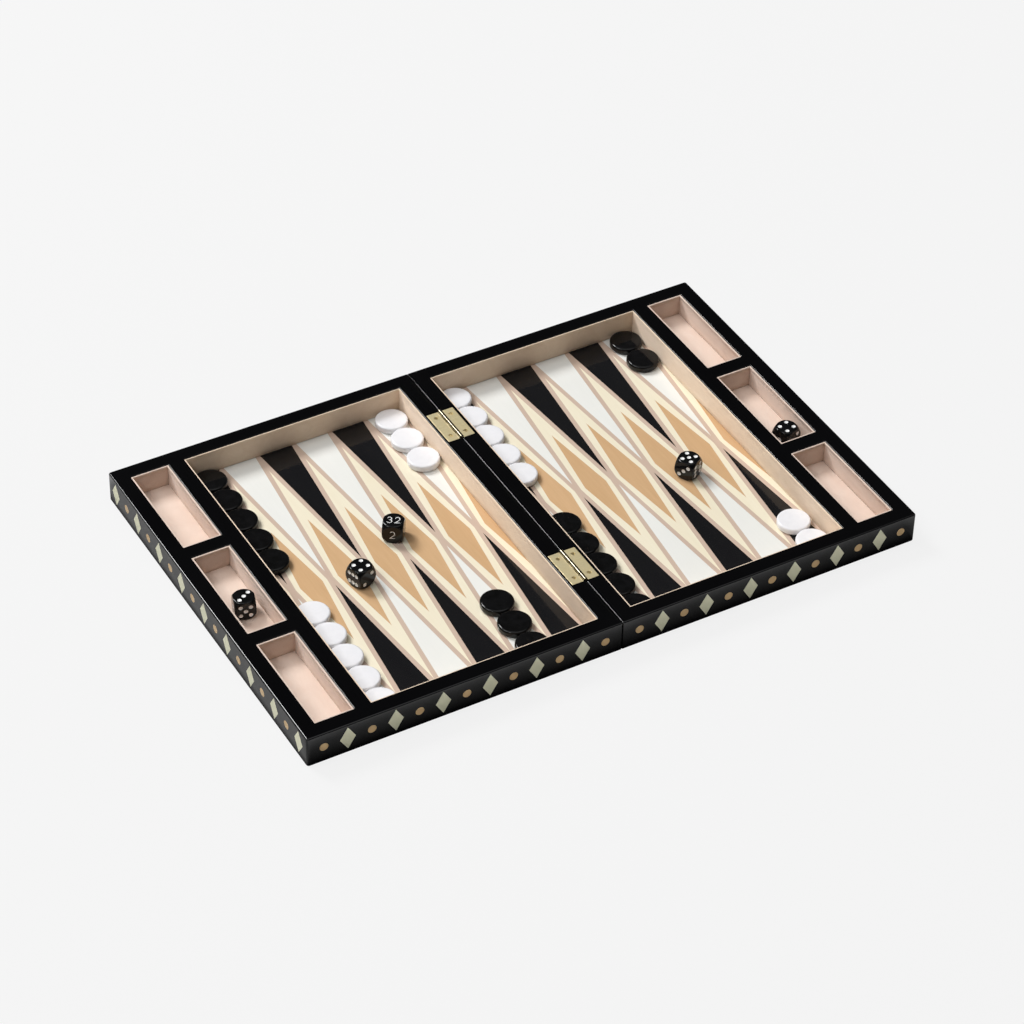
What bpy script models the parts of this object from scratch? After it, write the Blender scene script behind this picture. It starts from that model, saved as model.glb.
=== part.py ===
"""A folding backgammon set, open for play: two lacquered half boards on brass hinges, with the checkers in their
opening places, four dice and a doubling cube. Metres, +Z up, origin at the middle of the underside, +X along the
open board. Each half is modelled from the hinge line outwards, and the sign `side` (-1 left, 1 right) places it."""

import math

import bmesh
import bpy
from mathutils import Matrix, Vector

# Board
HALF_WIDTH = 0.300
BOARD_DEPTH = 0.388
HALF_HEIGHT = 0.0303
END_RIM = 0.0150
LONG_RIM = 0.0151
HINGE_RAIL = 0.0159
DIVIDER = 0.0153
WELL_WIDTH = 0.0368
CROSS_DIVIDER = 0.0150
MIDDLE_WELL = 0.1104
FIELD_DROP = 0.02475
WELL_DROP = 0.02175
FIELD_BASE = 0.0035
FIELD_PANEL = 0.00175
WELL_FLOOR = 0.0010
CLEARANCE = 0.0003
VERTICAL_ROUND = 0.0016
TOP_ROUND = 0.0010
BOTTOM_ROUND = 0.0010
SEAM_ROUND = 0.0006
CORNER_STEPS = 3

# Lining strips: thin walls with a wider rolled lip along their top
LINING = 0.0009
LINING_LIP = 0.0013
LIP_HEIGHT = 0.0016
LIP_DROP = 0.0005

# Hinges
HINGE_Y = 0.110
HINGE_LENGTH = 0.0426
LEAF_REACH = 0.01335
LEAF_THICKNESS = 0.0012
LEAF_DROP = 0.0003
BARREL_RADIUS = 0.0020
BARREL_CLEARANCE = 0.0004
PIN_RADIUS = 0.00095
PIN_BORE = 0.00105
PIN_END = 0.0003
KNUCKLES = 5
MORTISE_MARGIN = 0.0005
SCREW_INSET_X = 0.0075
SCREW_INSET_Y = 0.0075
SCREW_BORE = 0.0011
SCREW_HEAD = 0.0021
PILOT_RADIUS = 0.0008
PILOT_DEPTH = 0.0070

# Playing pieces
POINTS_PER_HALF = 6
POINT_PITCH = 0.0365
CHECKER_DIAMETER = 0.0304
CHECKER_THICKNESS = 0.0068
CHECKER_ROUND = 0.0014
CHECKER_GAP = 0.0003
DIE_SIZE = 0.0190
DIE_BALL = 0.0135

# Stacks in their opening places: colour, side, point from left to right, end (1 back, -1 front), checkers,
# and how far the stack lies off the middle of its point
STACKS = (
    ("black", -1, 1, 1, 5, 0),
    ("white", -1, 6, 1, 3, 0),
    ("white", -1, 1, -1, 5, 0),
    ("black", -1, 5, -1, 3, 0),
    ("white", 1, 1, 1, 5, 0),
    ("black", 1, 6, 1, 2, 0),
    ("black", 1, 1, -1, 5, 0),
    ("white", 1, 6, -1, 2, -0.0019),
)

# Dice: name, side, x, y, turn in degrees, on a well floor
DICE = (
    ("die_1", -1, -0.1581, -0.0172, 16.0, False),
    ("die_2", -1, -0.2659, -0.0083, 74.0, True),
    ("die_3", 1, 0.1685, -0.0267, 30.0, False),
    ("die_4", 1, 0.2676, -0.0340, 17.0, True),
    ("doubling_cube", -1, -0.1049, 0.0225, 54.5, False),
)

# Derived places, along X from the hinge line outwards and along Z
SEAM = CLEARANCE / 2
WELL_OUTER = HALF_WIDTH - END_RIM
WELL_INNER = WELL_OUTER - WELL_WIDTH
FIELD_OUTER = WELL_INNER - DIVIDER
INSIDE_Y = BOARD_DEPTH / 2 - LONG_RIM
FIELD_FLOOR = HALF_HEIGHT - FIELD_DROP
WELL_TOP = HALF_HEIGHT - WELL_DROP
WELL_BASE = WELL_TOP - WELL_FLOOR - CLEARANCE
LINING_TOP = HALF_HEIGHT - LIP_DROP
AXIS_Z = HALF_HEIGHT + SEAM
FIELD_MIDDLE = (HINGE_RAIL + FIELD_OUTER) / 2
CROSS_INNER_Y = MIDDLE_WELL / 2
CROSS_OUTER_Y = CROSS_INNER_Y + CROSS_DIVIDER
SIDES = {"left": -1, "right": 1}


def clear_scene():
    for old in list(bpy.data.objects):
        bpy.data.objects.remove(old, do_unlink=True)


def make_material(name, colour, roughness, metallic=0.0):
    material = bpy.data.materials.new(name)
    material.use_nodes = True
    shader = material.node_tree.nodes["Principled BSDF"]
    shader.inputs["Base Color"].default_value = (*colour, 1.0)
    shader.inputs["Roughness"].default_value = roughness
    shader.inputs["Metallic"].default_value = metallic
    material.diffuse_color = (*colour, 1.0)
    return material


def make_materials():
    return {
        "lacquer": make_material("black_lacquer", (0.012, 0.012, 0.013), 0.12),
        "panel": make_material("inlaid_veneer", (0.80, 0.66, 0.50), 0.15),
        "base": make_material("base_board", (0.03, 0.03, 0.03), 0.60),
        "lining": make_material("blush_lining", (0.78, 0.62, 0.52), 0.85),
        "brass": make_material("brass", (0.80, 0.64, 0.30), 0.25, 1.0),
        "pin": make_material("dark_brass", (0.35, 0.26, 0.12), 0.35, 1.0),
        "white": make_material("white_resin", (0.87, 0.87, 0.88), 0.20),
        "black": make_material("black_resin", (0.015, 0.015, 0.016), 0.15),
    }


def make_object(name, mesh_builder, material, parent, smooth=True):
    """Turns a bmesh into a named object under its parent."""
    bmesh.ops.recalc_face_normals(mesh_builder, faces=mesh_builder.faces)
    mesh = bpy.data.meshes.new(name)
    mesh_builder.to_mesh(mesh)
    mesh_builder.free()
    if smooth:
        mesh.shade_smooth()
        mesh.set_sharp_from_angle(angle=math.radians(40))
    if material:
        mesh.materials.append(material)
    thing = bpy.data.objects.new(name, mesh)
    bpy.context.scene.collection.objects.link(thing)
    thing.parent = parent
    return thing


def make_empty(name, location, parent=None):
    empty = bpy.data.objects.new(name, None)
    empty.location = location
    empty.parent = parent
    bpy.context.scene.collection.objects.link(empty)
    return empty


def loft(loops, ring=False):
    """A closed mesh through loops of equally many points: capped at both ends, or joined last to first."""
    mesh_builder = bmesh.new()
    rows = [[mesh_builder.verts.new(point) for point in loop] for loop in loops]
    pairs = list(zip(rows, rows[1:]))
    if ring:
        pairs.append((rows[-1], rows[0]))
    count = len(rows[0])
    for lower, upper in pairs:
        for i in range(count):
            j = (i + 1) % count
            mesh_builder.faces.new((lower[i], lower[j], upper[j], upper[i]))
    if not ring:
        mesh_builder.faces.new(rows[0][::-1])
        mesh_builder.faces.new(rows[-1])
    return mesh_builder


def rectangle(x0, x1, y0, y1, z):
    return [(x0, y0, z), (x1, y0, z), (x1, y1, z), (x0, y1, z)]


def rounded_rectangle(x0, x1, y0, y1, z, radius):
    """A rectangle with round corners, anticlockwise from the corner at (x1, y1)."""
    points = []
    corners = ((x1, y1, 1, 1), (x0, y1, -1, 1), (x0, y0, -1, -1), (x1, y0, 1, -1))
    for quarter, (x, y, sx, sy) in enumerate(corners):
        for step in range(CORNER_STEPS + 1):
            angle = math.pi / 2 * (quarter + step / CORNER_STEPS)
            centre = (x - sx * radius, y - sy * radius)
            points.append((centre[0] + radius * math.cos(angle), centre[1] + radius * math.sin(angle), z))
    return points


def circle(radius, z, count):
    turns = [2 * math.pi * i / count for i in range(count)]
    return [(radius * math.cos(turn), radius * math.sin(turn), z) for turn in turns]


def box(x0, x1, y0, y1, z0, z1):
    return loft([rectangle(x0, x1, y0, y1, z0), rectangle(x0, x1, y0, y1, z1)])


def span(side, near, far):
    """The low and high X of a stretch that runs from near to far outwards from the hinge line."""
    return (near, far) if side > 0 else (-far, -near)


def turned_about_y(mesh_builder, centre):
    """Lays a shape turned about Z along Y, with its base at centre."""
    turn = Matrix.Translation(Vector(centre)) @ Matrix.Rotation(-math.pi / 2, 4, "X")
    bmesh.ops.transform(mesh_builder, matrix=turn, verts=mesh_builder.verts)
    return mesh_builder


def combine(target, name, mesh_builder, operation):
    """Adds a hidden tool and a Boolean that joins it to the target or cuts it away."""
    tool = make_object(name, mesh_builder, None, target.parent, smooth=False)
    tool.hide_render = True
    tool.display_type = "WIRE"
    boolean = target.modifiers.new(name, "BOOLEAN")
    boolean.object = tool
    boolean.operation = operation
    boolean.solver = "EXACT"


def cut(target, name, mesh_builder):
    combine(target, name, mesh_builder, "DIFFERENCE")


def join(target, name, mesh_builder):
    combine(target, name, mesh_builder, "UNION")


def rim_loops(side):
    """Loops of the rim frame: up the outside, across the top and down the opening."""
    x0, x1 = span(side, SEAM, HALF_WIDTH)
    inside_x = span(side, HINGE_RAIL, WELL_OUTER)
    half_depth = BOARD_DEPTH / 2

    def outer(z, inset, seam_inset, radius):
        low, high = (seam_inset, inset) if side > 0 else (inset, seam_inset)
        return rounded_rectangle(x0 + low, x1 - high, inset - half_depth, half_depth - inset, z, radius)

    def inner(z, inset):
        radius = VERTICAL_ROUND / 4
        return rounded_rectangle(
            inside_x[0] - inset, inside_x[1] + inset, -INSIDE_Y - inset, INSIDE_Y + inset, z, radius
        )

    bevel = BOTTOM_ROUND * (1 - math.sqrt(0.5))
    return [
        outer(0, BOTTOM_ROUND, SEAM_ROUND, VERTICAL_ROUND),
        outer(bevel, bevel, SEAM_ROUND * 0.3, VERTICAL_ROUND),
        outer(BOTTOM_ROUND, 0, 0, VERTICAL_ROUND),
        outer(HALF_HEIGHT - TOP_ROUND, 0, 0, VERTICAL_ROUND),
        outer(HALF_HEIGHT - TOP_ROUND * 0.3, TOP_ROUND * 0.3, SEAM_ROUND * 0.3, VERTICAL_ROUND),
        outer(HALF_HEIGHT, TOP_ROUND, SEAM_ROUND, VERTICAL_ROUND),
        inner(HALF_HEIGHT, TOP_ROUND),
        inner(HALF_HEIGHT - TOP_ROUND, 0),
        inner(0, 0),
    ]


def make_rim(half, side, parent, materials):
    """The frame of one half: its four outer walls in one piece, mortised for the hinge leaves."""
    rim = make_object(f"{half}_rim", loft(rim_loops(side), ring=True), materials["lacquer"], parent)
    reach = LEAF_REACH + MORTISE_MARGIN
    length = HINGE_LENGTH / 2 + MORTISE_MARGIN
    mortise_floor = HALF_HEIGHT - LEAF_DROP - LEAF_THICKNESS - CLEARANCE
    above = HALF_HEIGHT + BARREL_RADIUS
    for place, y in (("front", -HINGE_Y), ("back", HINGE_Y)):
        x0, x1 = span(side, -LONG_RIM, reach)
        cut(rim, f"{half}_{place}_mortise", box(x0, x1, y - length, y + length, mortise_floor, above))
        groove = [circle(BARREL_RADIUS + BARREL_CLEARANCE, z, 16) for z in (0, 2 * length)]
        cut(rim, f"{half}_{place}_groove", turned_about_y(loft(groove), (0, y - length, AXIS_Z)))
        for end in (-1, 1):
            x, screw_y = screw_place(side, y, end)
            pilot = loft([circle(PILOT_RADIUS, z, 8) for z in (mortise_floor - PILOT_DEPTH, above)])
            bmesh.ops.translate(pilot, verts=pilot.verts, vec=(x, screw_y, 0))
            cut(rim, f"{half}_{place}_pilot_{end + 2}", pilot)
    return rim


def make_base_panel(half, side, parent, materials):
    """The bottom board inside the rim, thicker under the wells than under the playing field."""
    step = FIELD_OUTER - CLEARANCE
    near, far = HINGE_RAIL + CLEARANCE, WELL_OUTER - CLEARANCE
    outline = [(near, 0), (far, 0), (far, WELL_BASE), (step, WELL_BASE), (step, FIELD_BASE), (near, FIELD_BASE)]
    reach = INSIDE_Y - CLEARANCE
    loops = [[(side * x, y, z) for x, z in outline] for y in (-reach, reach)]
    return make_object(f"{half}_base_panel", loft(loops), materials["base"], parent)


def divider_outline(inset):
    """The divider frame's outline from above, drawn in along its long sides and not where it meets the rim."""
    reach = INSIDE_Y - CLEARANCE
    arm = WELL_OUTER - CLEARANCE
    near, far = FIELD_OUTER + inset, WELL_INNER - inset
    outline = [(near, -reach), (far, -reach)]
    for y0, y1 in ((-CROSS_OUTER_Y, -CROSS_INNER_Y), (CROSS_INNER_Y, CROSS_OUTER_Y)):
        y0, y1 = y0 + inset, y1 - inset
        outline += [(far, y0), (arm, y0), (arm, y1), (far, y1)]
    return outline + [(far, reach), (near, reach)]


def make_divider_frame(half, side, parent, materials):
    """The long divider between field and wells, with the two short dividers that part the wells."""
    levels = ((WELL_BASE + CLEARANCE, 0), (HALF_HEIGHT - TOP_ROUND, 0), (HALF_HEIGHT, TOP_ROUND))
    loops = [[(side * x, y, z) for x, y in divider_outline(inset)] for z, inset in levels]
    return make_object(f"{half}_divider_frame", loft(loops), materials["lacquer"], parent)


def make_field_panel(half, side, parent, materials):
    """The inlaid playing field."""
    x0, x1 = span(side, HINGE_RAIL + CLEARANCE, FIELD_OUTER - 2 * CLEARANCE)
    reach = INSIDE_Y - CLEARANCE
    panel = box(x0, x1, -reach, reach, FIELD_FLOOR - FIELD_PANEL + CLEARANCE, FIELD_FLOOR)
    return make_object(f"{half}_field_panel", panel, materials["panel"], parent)


def lining_section(bottom):
    """Inset and height of the lining's section, from its outer foot round its lip to its inner foot."""
    return (
        (0, bottom),
        (0, LINING_TOP),
        (LINING_LIP, LINING_TOP),
        (LINING_LIP, LINING_TOP - LIP_HEIGHT),
        (LINING, LINING_TOP - LIP_HEIGHT),
    )


def lining_loops(x_span, y_span, section):
    x0, x1 = x_span
    y0, y1 = y_span
    gap = CLEARANCE
    return [
        rectangle(x0 + gap + inset, x1 - gap - inset, y0 + gap + inset, y1 - gap - inset, z) for inset, z in section
    ]


def make_field_lining(half, side, parent, materials):
    """The strip of lining round the four walls of the playing field."""
    bottom = FIELD_FLOOR + CLEARANCE
    section = (*lining_section(bottom), (LINING, bottom))
    x_span = span(side, HINGE_RAIL, FIELD_OUTER)
    loops = lining_loops(x_span, (-INSIDE_Y, INSIDE_Y), section)
    return make_object(f"{half}_field_lining", loft(loops, ring=True), materials["lining"], parent)


def make_well_linings(half, side, parent, materials):
    """The three lined trays, each with its floor."""
    x_span = span(side, WELL_INNER, WELL_OUTER)
    wells = (
        ("front", (-INSIDE_Y, -CROSS_OUTER_Y)),
        ("middle", (-CROSS_INNER_Y, CROSS_INNER_Y)),
        ("back", (CROSS_OUTER_Y, INSIDE_Y)),
    )
    section = (*lining_section(WELL_TOP - WELL_FLOOR), (LINING, WELL_TOP))
    for place, y_span in wells:
        loops = lining_loops(x_span, y_span, section)
        make_object(f"{half}_{place}_well_lining", loft(loops), materials["lining"], parent)


def screw_place(side, hinge_y, end):
    return side * SCREW_INSET_X, hinge_y + end * (HINGE_LENGTH / 2 - SCREW_INSET_Y)


def knuckle_span(index):
    """The low and high Y of a knuckle, counted from the hinge's middle."""
    pitch = (HINGE_LENGTH + CLEARANCE) / KNUCKLES
    low = -HINGE_LENGTH / 2 + index * pitch
    return low, low + pitch - CLEARANCE


def make_leaf(half, side, place, hinge_y, parent, materials):
    """One leaf of a butt hinge, with its knuckles and two countersunk screw holes."""
    bottom = HALF_HEIGHT - LEAF_DROP - LEAF_THICKNESS
    top = bottom + LEAF_THICKNESS
    x0, x1 = span(side, BARREL_RADIUS + BARREL_CLEARANCE, LEAF_REACH)
    reach = HINGE_LENGTH / 2
    plate = box(x0, x1, hinge_y - reach, hinge_y + reach, bottom, top)
    leaf = make_object(f"{half}_{place}_hinge_leaf", plate, materials["brass"], parent)
    tag = f"{half}_{place}_leaf"
    for index in range(0 if side < 0 else 1, KNUCKLES, 2):
        low, high = (hinge_y + y for y in knuckle_span(index))
        web = span(side, BARREL_RADIUS / 4, 2 * BARREL_RADIUS)
        skin = LEAF_THICKNESS / 12
        web_mesh = box(*web, low + skin, high - skin, bottom + skin, top - skin)
        join(leaf, f"{tag}_web_{index}", web_mesh)
        knuckle = loft([circle(BARREL_RADIUS, z, 16) for z in (0, high - low)])
        join(leaf, f"{tag}_knuckle_{index}", turned_about_y(knuckle, (0, low, AXIS_Z)))
    overrun = BARREL_RADIUS
    bore = loft([circle(PIN_BORE, z, 16) for z in (0, HINGE_LENGTH + 2 * overrun)])
    cut(leaf, f"{tag}_bore", turned_about_y(bore, (0, hinge_y - reach - overrun, AXIS_Z)))
    for end in (-1, 1):
        profile = ((SCREW_BORE, bottom - overrun), (SCREW_BORE, bottom), (SCREW_HEAD, top), (SCREW_HEAD, top + overrun))
        countersink = loft([circle(radius, z, 12) for radius, z in profile])
        bmesh.ops.translate(countersink, verts=countersink.verts, vec=(*screw_place(side, hinge_y, end), 0))
        cut(leaf, f"{tag}_screw_hole_{end + 2}", countersink)
    return leaf


def make_pin(place, hinge_y, parent, materials):
    """The pin through a hinge's knuckles."""
    length = HINGE_LENGTH + 2 * PIN_END
    pin = turned_about_y(
        loft([circle(PIN_RADIUS, z, 16) for z in (0, length)]), (0, hinge_y - length / 2, AXIS_Z)
    )
    return make_object(f"{place}_hinge_pin", pin, materials["pin"], parent)


def checker_mesh():
    """A plain disc with softened edges, its base at the origin."""
    radius = CHECKER_DIAMETER / 2
    profile = (
        (radius - CHECKER_ROUND, 0),
        (radius, CHECKER_ROUND),
        (radius, CHECKER_THICKNESS - CHECKER_ROUND),
        (radius - CHECKER_ROUND, CHECKER_THICKNESS),
    )
    return loft([circle(r, z, 24) for r, z in profile])


def make_checkers(halves, materials):
    """The stacks of checkers in their opening places, each against the lining at its end of the board."""
    counts = {"white": 0, "black": 0}
    reach = INSIDE_Y - CLEARANCE - LINING_LIP - CHECKER_GAP - CHECKER_DIAMETER / 2
    for colour, side, point, end, stack, shift in STACKS:
        x = side * FIELD_MIDDLE + (point - (POINTS_PER_HALF + 1) / 2) * POINT_PITCH + shift
        for i in range(stack):
            counts[colour] += 1
            name = f"{colour}_checker_{counts[colour]:02d}"
            checker = make_object(name, checker_mesh(), materials[colour], halves[side])
            y = end * (reach - i * (CHECKER_DIAMETER + CHECKER_GAP))
            checker.location = (x, y, FIELD_FLOOR + CLEARANCE)


def die_mesh():
    """A cube whose corners are cut by a ball, its base at the origin."""
    mesh_builder = bmesh.new()
    bmesh.ops.create_cube(mesh_builder, size=DIE_SIZE)
    bmesh.ops.subdivide_edges(mesh_builder, edges=mesh_builder.edges, cuts=5, use_grid_fill=True)
    for vert in mesh_builder.verts:
        if vert.co.length > DIE_BALL:
            vert.co *= DIE_BALL / vert.co.length
    bmesh.ops.translate(mesh_builder, verts=mesh_builder.verts, vec=(0, 0, DIE_SIZE / 2))
    return mesh_builder


def make_dice(halves, materials):
    """The four dice and the doubling cube."""
    for name, side, x, y, turn, in_well in DICE:
        die = make_object(name, die_mesh(), materials["black"], halves[side])
        floor = WELL_TOP if in_well else FIELD_FLOOR
        die.location = (x, y, floor + CLEARANCE)
        die.rotation_euler.z = math.radians(turn)


def make_half(half, side, parent, materials):
    make_rim(half, side, parent, materials)
    make_base_panel(half, side, parent, materials)
    make_divider_frame(half, side, parent, materials)
    make_field_panel(half, side, parent, materials)
    make_field_lining(half, side, parent, materials)
    make_well_linings(half, side, parent, materials)
    for place, y in (("front", -HINGE_Y), ("back", HINGE_Y)):
        make_leaf(half, side, place, y, parent, materials)


def main():
    clear_scene()
    materials = make_materials()
    left = make_empty("left_half", (0, 0, 0))
    fold_axis = make_empty("right_half_fold_axis", (0, 0, AXIS_Z), left)
    right = make_empty("right_half", (0, 0, -AXIS_Z), fold_axis)
    make_half("left", SIDES["left"], left, materials)
    make_half("right", SIDES["right"], right, materials)
    for place, y in (("front", -HINGE_Y), ("back", HINGE_Y)):
        make_pin(place, y, left, materials)
    halves = {-1: left, 1: right}
    make_checkers(halves, materials)
    make_dice(halves, materials)


main()
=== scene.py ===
"""Looks of the folding backgammon set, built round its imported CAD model. Metres, +Z up, the row frame."""

import math

import bmesh
import bpy
from mathutils import Matrix, Vector
from mathutils.geometry import delaunay_2d_cdt


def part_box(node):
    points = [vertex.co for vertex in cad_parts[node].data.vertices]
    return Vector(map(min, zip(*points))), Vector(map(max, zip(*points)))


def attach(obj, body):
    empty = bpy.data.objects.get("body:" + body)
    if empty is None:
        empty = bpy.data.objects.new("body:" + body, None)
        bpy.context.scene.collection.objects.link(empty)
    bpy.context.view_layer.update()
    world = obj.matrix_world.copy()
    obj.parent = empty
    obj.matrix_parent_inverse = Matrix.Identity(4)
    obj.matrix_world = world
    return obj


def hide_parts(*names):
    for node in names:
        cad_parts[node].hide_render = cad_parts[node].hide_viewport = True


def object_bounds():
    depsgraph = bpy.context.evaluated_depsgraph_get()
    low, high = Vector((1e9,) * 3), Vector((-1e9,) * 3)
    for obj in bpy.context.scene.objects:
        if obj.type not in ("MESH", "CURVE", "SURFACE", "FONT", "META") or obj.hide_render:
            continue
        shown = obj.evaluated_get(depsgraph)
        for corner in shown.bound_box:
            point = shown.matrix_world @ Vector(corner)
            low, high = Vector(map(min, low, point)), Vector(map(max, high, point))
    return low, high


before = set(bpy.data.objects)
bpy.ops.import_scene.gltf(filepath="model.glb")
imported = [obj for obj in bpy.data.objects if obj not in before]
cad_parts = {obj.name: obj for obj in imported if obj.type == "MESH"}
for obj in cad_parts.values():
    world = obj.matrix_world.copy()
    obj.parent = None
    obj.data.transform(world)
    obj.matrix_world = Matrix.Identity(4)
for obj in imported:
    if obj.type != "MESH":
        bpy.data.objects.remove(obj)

CAD_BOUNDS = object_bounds()

MM = 1000
HALVES = {"left": -1, "right": 1}
HINGES = ("front", "back")
WELLS = ("front", "middle", "back")

# How far a cutter runs past what it cuts
OVERRUN = 0.01

# Case: outer edges, and the eased edges of its openings
GAP = 0.0003
CORNER_ROUND = 0.0024
SEAM_CORNER_ROUND = 0.0013
TOP_ROUND = 0.0015
BOTTOM_ROUND = 0.0010
SEAM_ROUND = 0.0006
LEAST_CORNER = 0.0003
LEAST_SEAM_CORNER = 0.0002
CASE_SHARP_ANGLE = 30
OPENING_EASE = 0.0006
OPENING_FALL = 0.0005
OPENING_CORNER = 0.0004
RECESS_TOP = 0.00755
RECESS_MARGIN = 0.0001

# Inlays round the sides of the case
CASE_MATERIALS = ("lacquer", "shell", "wood_dot")
LONG_SIDE_DIAMONDS = 6
END_DIAMONDS = 9
INLAY_HEIGHT = 0.0160
INLAY_PITCH = 0.0446
SIDE_FIRST_DOT = 0.0169
SIDE_FIRST_DIAMOND = 0.0393
DIAMOND_WIDTH = 0.0146
DIAMOND_HEIGHT = 0.0237
DOT_DIAMETER = 0.0080

# Playing field
POINT_PITCH = 0.0365
POINT_TIP = 0.01005
POINT_SLOPE = 0.0948
POINT_OVERRUN = 0.001
BAND_NECK = 0.0031
BAND_SLOPE = 0.0975
TAN_HALF_WIDTH = 0.0108
TAN_HALF_LENGTH = 0.0795
BACK_ROW = ("black", "ivory", "black", "ivory", "black", "ivory")
FIELD_INLAYS = ("taupe", "cream", "tan", "ivory", "black")

# Suede linings
SUEDE_TO_WALL = 0.00005
SUEDE_WALL = 0.00115
SUEDE_LIP = {"field": 0.00135, "well": 0.00175}
LIP_HEIGHT = 0.0017
LIP_ROUND = (0.0006, 0.0007)
LIP_UNDERCUT = 0.00015
CREASE = 0.0005
SUEDE_BULGE = 0.00012
SUEDE_FOOT = 0.0004
WELL_FLOOR = 0.0010
STRIP_TUCK = 0.0004
PAD_TUCK = 0.00010
PAD_CORNER = 0.0006

# Hinges
MORTISE_REACH = 0.01385
MORTISE_MARGIN = 0.0005
MORTISE_DEPTH = 0.0018
MORTISE_CORNER = 0.0005
LEAF_REACH = 0.01335
LEAF_TOP_DROP = 0.0003
LEAF_THICKNESS = 0.0012
LEAF_TO_BARREL = 0.0002
LEAF_EASE = 0.00022
BARREL_RADIUS = 0.0020
BARREL_BORE = 0.00115
BARREL_EASE = 0.0002
GROOVE_RADIUS = 0.0024
PIN_RADIUS = 0.00098
PIN_DOME = 0.00035
WEB_INSET = 0.0001
KNUCKLES = 5
SCREW_X = 0.0075
SCREW_FROM_END = 0.0075
SCREW_HEAD = 0.0016
SCREW_SLOT = 0.00050
SCREW_GAP = 0.00038
SCREW_DROP = 0.00030
PILOT_RADIUS = 0.0011

# Playing pieces
CHECKER_ROUND = 0.0019
CHECKER_DOME = 0.00012
BALL_SHARE = 0.702
PIP_RADIUS = 0.00190
PIP_PLACE = 0.00440
PIP_DEPTH = 0.00050
# The circles of a pip: share of its radius, and number of points
PIP_RINGS = ((1.0, 28), (0.93, 28), (0.78, 24), (0.5, 16), (0.2, 8))
DIE_GRID = 22
DIE_EDGE_SOFTNESS = 0.0006
# How each die is turned, and what its sides bear, each turned by how much on its side
DIE_SIDES = ("top", "bottom", "left", "right", "front", "back")
DICE = {
    "die_1": (16.0, ((4, 0), (3, 0), (6, 90), (1, 0), (2, 90), (5, 0))),
    "die_2": (74.0, ((3, 0), (4, 0), (5, 0), (2, 0), (6, 0), (1, 0))),
    "die_3": (30.0, ((5, 0), (2, 0), (3, 90), (4, 0), (6, 0), (1, 0))),
    "die_4": (17.0, ((4, 0), (3, 0), (1, 0), (6, 0), (2, 90), (5, 0))),
    "doubling_cube": (54.5, (("32", -86), ("4", 0), ("2", 0), ("64", 0), ("8", 0), ("16", 0))),
}
DIGIT_HEIGHT = 0.0075
DIGIT_STROKE = 0.00074
DIGIT_DEPTH = 0.00022
DIGIT_WALL = 0.00014
MITRE_LIMIT = 0.35

# Floor in the picture
FLOOR_RADIUS = 14.0
FLOOR_GREY = 0.07
FLOOR_GLOW = 0.835

# Floor in reflections, with a painted shadow round the case: its greys, the painted share of light past
# the case's ends, and the distances past the ends and past the front over which the painted light comes in
BOUNCE_PAINTED_SHADE_GREYS = (0.05, 0.88)
PAINTED_LIGHT_PAST_END = 0.46
END_PAINTED_SHADE = (0.0, 0.004)
FRONT_PAINTED_SHADE = (0.002, 0.034)

# Lights: azimuth from +X towards +Y, elevation, distance, width, height, watts
LIGHTS = {
    "key": (112, 46.5, 6.0, 1.7, 2.0, 282),
    "left": (168, 52, 6.0, 2.6, 2.0, 92),
    "glint": (208, 46, 6.0, 0.42, 0.42, 24),
}

# Camera
AZIMUTH = -30.250
ELEVATION = 40.314
ROLL = 1.258
FOCAL_LENGTH = 125.81
TARGET = (0.006462, 0.008019, 0.0)
DISTANCE = 3.1827


# ---------------------------------------------------------------- meshes


def gather(polygons):
    """The points of some polygons in millimetres, and each polygon as point numbers, anticlockwise."""
    points, faces = [], []
    for polygon in polygons:
        twice_area = sum(a[0] * b[1] - a[1] * b[0] for a, b in zip(polygon, polygon[1:] + polygon[:1]))
        numbers = range(len(points), len(points) + len(polygon))
        faces.append(list(numbers if twice_area > 0 else reversed(numbers)))
        points += [Vector(point) * MM for point in polygon]
    return points, faces


def cut_up(points, faces):
    """Triangles of the plane cut up by some polygons: each one's corners, and the polygons over it."""
    spots, _, triangles, _, _, owners = delaunay_2d_cdt(points, [], faces, 1, 1e-6, True)
    return [([spots[i] / MM for i in corners], over) for corners, over in zip(triangles, owners)]


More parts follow.
